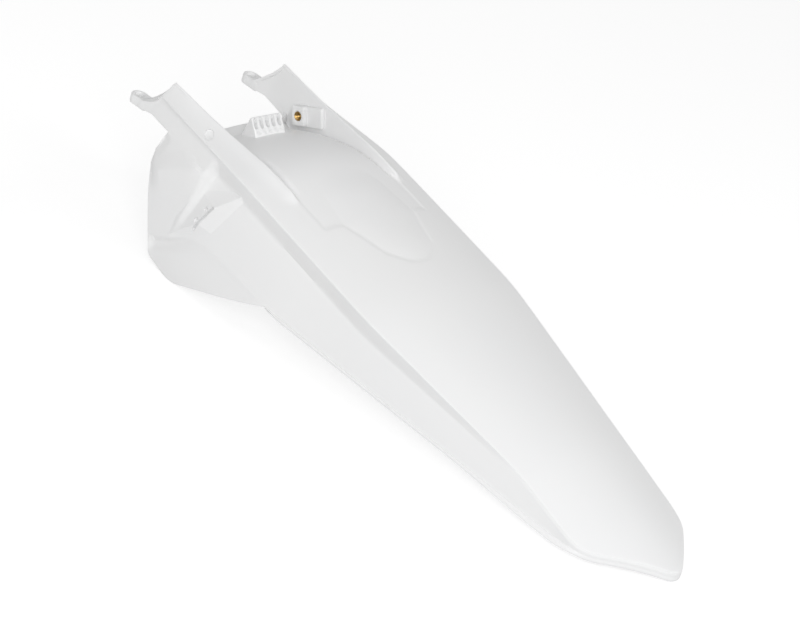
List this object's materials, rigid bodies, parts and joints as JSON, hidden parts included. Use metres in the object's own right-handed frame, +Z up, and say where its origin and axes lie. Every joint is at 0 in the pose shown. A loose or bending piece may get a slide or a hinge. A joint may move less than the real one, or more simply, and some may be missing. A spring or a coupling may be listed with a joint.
{
  "type": "motorcycle rear mudguard",
  "caption": "Thin one-piece moulded rear mudguard for an off-road motorcycle: arched panel with stepped flanks, pointed tail, front arms, side wings and threaded inserts.",
  "frame": {"origin": "on the floor under the middle of the overall length, on the centre plane", "axes": "+X towards the tail, +Y towards the far flank of the picture, +Z up, with the wings' lower edges and the tail's corners on the floor"},
  "size_m": [0.6754, 0.2102, 0.1588],
  "materials": {
    "moulding": "smooth moulded white polypropylene, semi-gloss",
    "insert_brass": "turned brass"
  },
  "bodies": {
    "root": {"mudguard_moulding": "moulding", "threaded_inserts": "insert_brass"}
  },
  "joints": []
}
